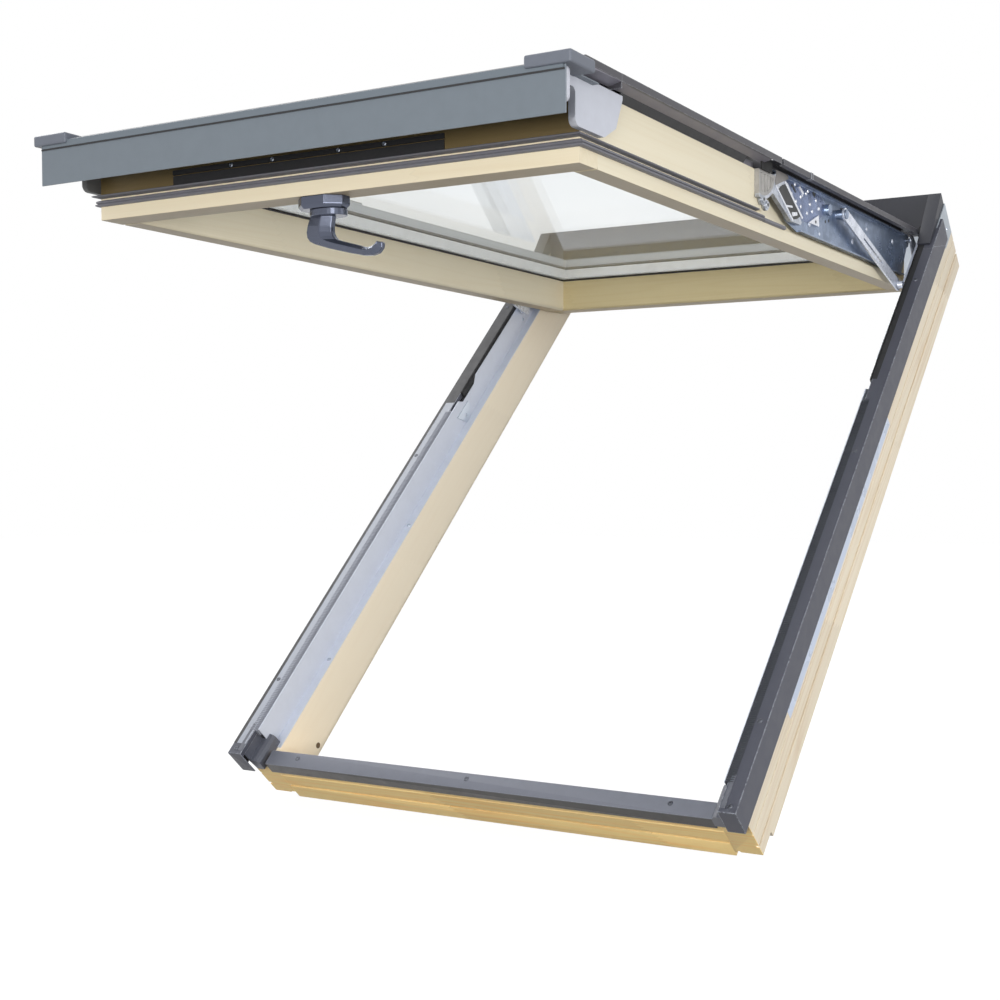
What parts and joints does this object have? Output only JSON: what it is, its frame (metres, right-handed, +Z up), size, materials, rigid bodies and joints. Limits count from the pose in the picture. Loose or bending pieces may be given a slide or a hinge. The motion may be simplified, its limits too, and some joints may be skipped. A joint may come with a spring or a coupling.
{
  "type": "roof window",
  "caption": "Top-hung roof window with a middle pivot: timber frame with metal cladding, glazed sash held open by side arms and struts.",
  "frame": {"origin": "middle of the room-side face of the frame's bottom rail, on the frame's back plane", "axes": "+X to the right seen from outside, +Z up, +Y level into the roof; the frame's plane leans back 45 degrees, the pitch of the roof"},
  "size_m": [0.789, 1.263, 0.939],
  "materials": {
    "frame_wood": "planed raw pine",
    "sash_wood": "clear matt lacquer on pine",
    "cladding": "matt dark grey coating",
    "fascia": "matt grey coating",
    "hood": "matt charcoal coating",
    "zinc": "bright zinc plated",
    "hinge_zinc": "bright zinc plated",
    "track_metal": "cast and blasted",
    "bracket_grey": "light grey moulded",
    "black_rubber": "matt black",
    "grey_rubber": "matt dark grey",
    "black_plastic": "matt black moulded",
    "film": "smooth blue-grey strip",
    "glass": "clear coated double glazing",
    "handle": "satin anodised"
  },
  "bodies": {
    "frame": {"frame_bottom_rail": "frame_wood", "frame_top_rail": "frame_wood", "left_post": "frame_wood", "right_post": "frame_wood", "bottom_cladding": "cladding", "left_cladding": "cladding", "right_cladding": "cladding", "left_guide_rail": "zinc", "right_guide_rail": "zinc", "frame_seals": "black_rubber", "guide_springs": "black_rubber", "spring_latches": "zinc", "corner_blocks": "black_plastic", "side_strips": "film", "top_hood": "hood", "hood_ends": "zinc", "hinge_brackets": "zinc"},
    "arms": {"left_arm": "hinge_zinc", "right_arm": "hinge_zinc", "left_arm_cover": "cladding", "right_arm_cover": "cladding", "pivot_cradles": "hinge_zinc"},
    "struts": {"left_strut": "zinc", "right_strut": "zinc"},
    "sash": {"sash_bottom_rail": "sash_wood", "sash_top_rail": "sash_wood", "left_stile": "sash_wood", "right_stile": "sash_wood", "glass_unit": "glass", "glazing_gasket": "black_rubber", "left_side_cover": "cladding", "right_side_cover": "cladding", "glazing_covers": "cladding", "top_cover": "cladding", "bottom_cover": "cladding", "sash_fascia": "fascia", "corner_caps": "cladding", "end_brackets": "bracket_grey", "sash_seals": "grey_rubber", "vent_strip": "black_plastic", "pivot_discs": "track_metal", "handle_base": "handle"},
    "handle": {"handle_lever": "handle"}
  },
  "joints": [
    {"name": "arms_swing", "type": "hinge", "parent": "frame", "child": "arms", "pos_m": [0, 0.69219, 0.85114], "axis": [-1, 0, 0], "range_deg": [-45, 0]},
    {"name": "sash_pivot", "type": "hinge", "parent": "arms", "child": "sash", "pos_m": [0, 0.07439, 0.86074], "axis": [-1, 0, 0], "range_deg": [0, 150]},
    {"name": "strut_turn", "type": "hinge", "parent": "arms", "child": "struts", "pos_m": [0, 0.36239, 0.83874], "axis": [-1, 0, 0], "range_deg": [-16.2, 0.2]},
    {"name": "handle_turn", "type": "hinge", "parent": "sash", "child": "handle", "pos_m": [-0.004, -0.35061, 0.75774], "axis": [0, 0, 1], "range_deg": [0, 90]}
  ],
  "couplings": [
    {"joint": "strut_turn", "follows": "arms_swing", "ratio": 0.36}
  ]
}
